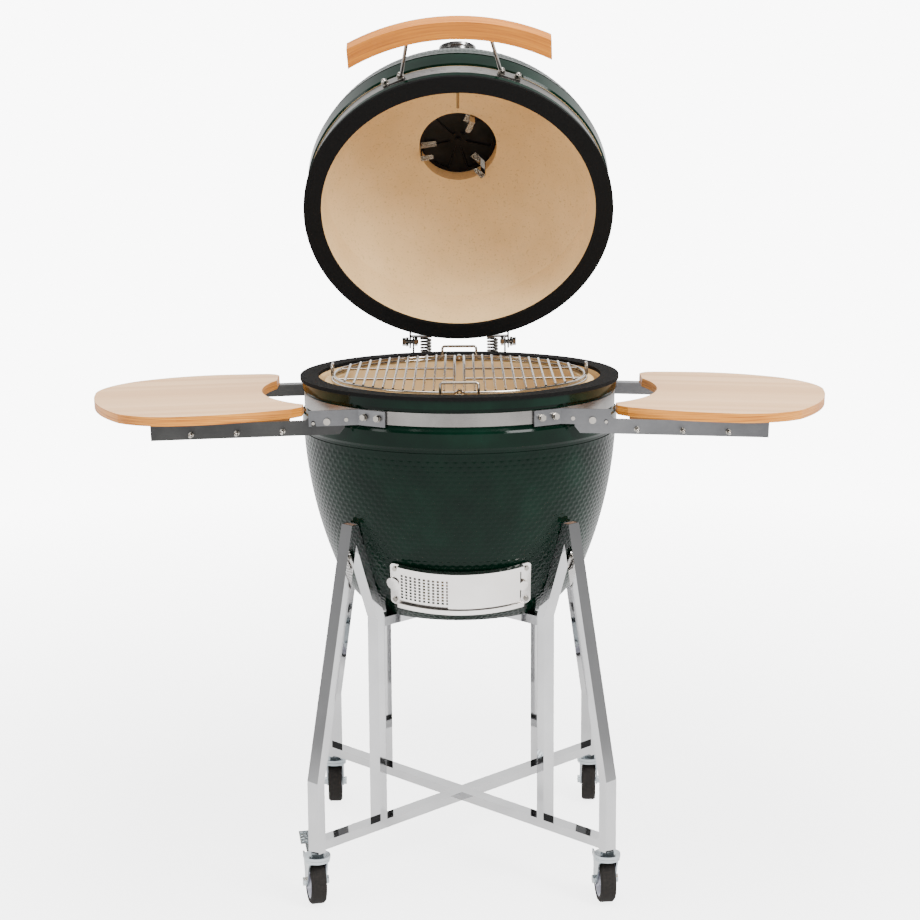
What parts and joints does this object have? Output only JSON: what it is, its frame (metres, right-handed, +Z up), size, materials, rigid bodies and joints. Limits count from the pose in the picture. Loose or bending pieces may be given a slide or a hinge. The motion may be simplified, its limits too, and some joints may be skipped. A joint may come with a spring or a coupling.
{
  "type": "kettle charcoal grill",
  "caption": "Egg-shaped ceramic charcoal grill with hinged lid, folding grate, sliding draft door, fold-down wooden shelves and a wheeled tube stand.",
  "frame": {"origin": "bottom centre of the bounding box, on the floor", "axes": "+Z up, -Y towards the cook, +X to the cook's right"},
  "size_m": [1.2408, 0.687, 1.4241],
  "materials": {
    "glaze": "dark green gloss glaze over fired clay",
    "felt": "black woven felt",
    "band_steel": "brushed stainless",
    "clay": "unglazed buff fire clay",
    "iron": "black cast iron",
    "draft_steel": "polished stainless sheet",
    "fastener_steel": "polished stainless",
    "spring_steel": "oiled spring wire",
    "handle_wood": "oiled bamboo",
    "bamboo": "pale bamboo strips, oiled",
    "rail_steel": "satin steel sheet",
    "stand_chrome": "satin chromed tube",
    "cap_plastic": "moulded end plugs",
    "zinc": "bright zinc plate",
    "hub_plastic": "grey moulded hub",
    "tyre": "black rubber tread",
    "grate_wire": "electropolished stainless wire",
    "gauge_case": "polished stainless",
    "gauge_needle": "red enamel",
    "gauge_glass": "clear glass"
  },
  "bodies": {
    "stand_and_bowl": {"stand_leg_front_left": "stand_chrome", "stand_leg_front_right": "stand_chrome", "stand_leg_rear_left": "stand_chrome", "stand_leg_rear_right": "stand_chrome", "cradle_arms": "stand_chrome", "stand_posts": "stand_chrome", "base_cross": "stand_chrome", "cradle_cross": "stand_chrome", "leg_caps": "cap_plastic", "caster_stems": "zinc", "bowl_shell": "glaze", "bowl_gasket": "felt", "bowl_band": "band_steel", "firebox": "clay", "fire_ring": "clay", "charcoal_grate": "iron", "draft_frame": "draft_steel", "lower_hinge_bracket": "band_steel", "hinge_pins": "fastener_steel", "hinge_springs": "spring_steel", "shelf_arms": "rail_steel", "bowl_fasteners": "fastener_steel"},
    "lid": {"lid_shell": "glaze", "lid_gasket": "felt", "lid_band": "band_steel", "lid_hinge_bracket": "band_steel", "lid_handle": "handle_wood", "handle_rods": "band_steel", "thermometer_case": "gauge_case", "thermometer_lens": "gauge_glass", "vent_cap": "iron", "vent_clips": "fastener_steel", "lid_bolts": "fastener_steel"},
    "vent_wheel": {"vent_wheel": "iron"},
    "needle": {"thermometer_needle": "gauge_needle"},
    "screen_plate": {"draft_screen": "draft_steel"},
    "door_plate": {"draft_door": "draft_steel"},
    "grate": {"grate_frame": "grate_wire"},
    "grate_left": {"grate_half_left": "grate_wire"},
    "grate_right": {"grate_half_right": "grate_wire"},
    "shelf_left": {"shelf_board_left": "bamboo", "shelf_rails_left": "rail_steel", "tool_pegs_left": "fastener_steel"},
    "shelf_right": {"shelf_board_right": "bamboo", "shelf_rails_right": "rail_steel", "tool_pegs_right": "fastener_steel"},
    "swivel_front_left": {"caster_fork_front_left": "zinc"},
    "wheel_front_left": {"caster_hub_front_left": "hub_plastic", "caster_tyre_front_left": "tyre"},
    "swivel_front_right": {"caster_fork_front_right": "zinc"},
    "wheel_front_right": {"caster_hub_front_right": "hub_plastic", "caster_tyre_front_right": "tyre"},
    "swivel_rear_left": {"caster_fork_rear_left": "zinc"},
    "wheel_rear_left": {"caster_hub_rear_left": "hub_plastic", "caster_tyre_rear_left": "tyre"},
    "swivel_rear_right": {"caster_fork_rear_right": "zinc"},
    "wheel_rear_right": {"caster_hub_rear_right": "hub_plastic", "caster_tyre_rear_right": "tyre"},
    "pedal_front_left": {"brake_pedal_front_left": "zinc"},
    "pedal_rear_right": {"brake_pedal_rear_right": "zinc"}
  },
  "joints": [
    {"name": "lid_hinge", "type": "hinge", "parent": "stand_and_bowl", "child": "lid", "pos_m": [0, 0.2035, 0.857], "axis": [-1, 0, 0], "range_deg": [-60.85, 0], "stiffness_Nm_per_rad": 30, "springref_deg": 35.52, "deforming": ["hinge_springs"]},
    {"name": "vent_turn", "type": "hinge", "parent": "lid", "child": "vent_wheel", "pos_m": [0, 0.26264, 1.21288], "axis": [0, 0.8733, 0.4871], "range_deg": [0, 30]},
    {"name": "needle_turn", "type": "hinge", "parent": "lid", "child": "needle", "pos_m": [0, 0.1381, 1.37023], "axis": [0, 0.3641, 0.9314], "range_deg": [0, 250]},
    {"name": "screen_slide", "type": "hinge", "parent": "stand_and_bowl", "child": "screen_plate", "pos_m": [0, -0.07844, 0.60307], "axis": [0, -0.3681, 0.9298], "range_deg": [0, 23]},
    {"name": "door_slide", "type": "hinge", "parent": "stand_and_bowl", "child": "door_plate", "pos_m": [0, -0.07844, 0.60307], "axis": [0, 0.3681, -0.9298], "range_deg": [0, 20]},
    {"name": "grate_lift", "type": "slide", "parent": "stand_and_bowl", "child": "grate", "axis": [0, 0, 1], "range_m": [0, 0.2]},
    {"name": "grate_fold_left", "type": "hinge", "parent": "grate", "child": "grate_left", "pos_m": [0, -0.0785, 0.8403], "axis": [0, 1, 0], "range_deg": [0, 68]},
    {"name": "grate_fold_right", "type": "hinge", "parent": "grate", "child": "grate_right", "pos_m": [0, -0.0785, 0.8403], "axis": [0, -1, 0], "range_deg": [0, 68]},
    {"name": "shelf_fold_left", "type": "hinge", "parent": "stand_and_bowl", "child": "shelf_left", "pos_m": [-0.2085, -0.0785, 0.796], "axis": [0, -1, 0], "range_deg": [0, 60]},
    {"name": "shelf_fold_right", "type": "hinge", "parent": "stand_and_bowl", "child": "shelf_right", "pos_m": [0.2085, -0.0785, 0.796], "axis": [0, 1, 0], "range_deg": [0, 60]},
    {"name": "swivel_front_left", "type": "hinge", "parent": "stand_and_bowl", "child": "swivel_front_left", "pos_m": [-0.23497, -0.31347, 0.0835], "axis": [0, 0, 1], "continuous": true},
    {"name": "roll_front_left", "type": "hinge", "parent": "swivel_front_left", "child": "wheel_front_left", "pos_m": [-0.23933, -0.29601, 0.0375], "axis": [0.9703, 0.2419, 0], "continuous": true},
    {"name": "swivel_front_right", "type": "hinge", "parent": "stand_and_bowl", "child": "swivel_front_right", "pos_m": [0.23497, -0.31347, 0.0835], "axis": [0, 0, 1], "continuous": true},
    {"name": "roll_front_right", "type": "hinge", "parent": "swivel_front_right", "child": "wheel_front_right", "pos_m": [0.23278, -0.29561, 0.0375], "axis": [0.9925, 0.1219, 0], "continuous": true},
    {"name": "swivel_rear_left", "type": "hinge", "parent": "stand_and_bowl", "child": "swivel_rear_left", "pos_m": [-0.23497, 0.15647, 0.0835], "axis": [0, 0, 1], "continuous": true},
    {"name": "roll_rear_left", "type": "hinge", "parent": "swivel_rear_left", "child": "wheel_rear_left", "pos_m": [-0.2356, 0.17446, 0.0375], "axis": [0.9994, 0.0349, 0], "continuous": true},
    {"name": "swivel_rear_right", "type": "hinge", "parent": "stand_and_bowl", "child": "swivel_rear_right", "pos_m": [0.23497, 0.15647, 0.0835], "axis": [0, 0, 1], "continuous": true},
    {"name": "roll_rear_right", "type": "hinge", "parent": "swivel_rear_right", "child": "wheel_rear_right", "pos_m": [0.23654, 0.1744, 0.0375], "axis": [0.9962, -0.0872, 0], "continuous": true},
    {"name": "brake_front_left", "type": "hinge", "parent": "swivel_front_left", "child": "pedal_front_left", "pos_m": [-0.24513, -0.27272, 0.074], "axis": [-0.9703, -0.2419, 0], "range_deg": [0, 10]},
    {"name": "brake_rear_right", "type": "hinge", "parent": "swivel_rear_right", "child": "pedal_rear_right", "pos_m": [0.23863, 0.19831, 0.074], "axis": [-0.9962, 0.0872, 0], "range_deg": [0, 10]}
  ]
}
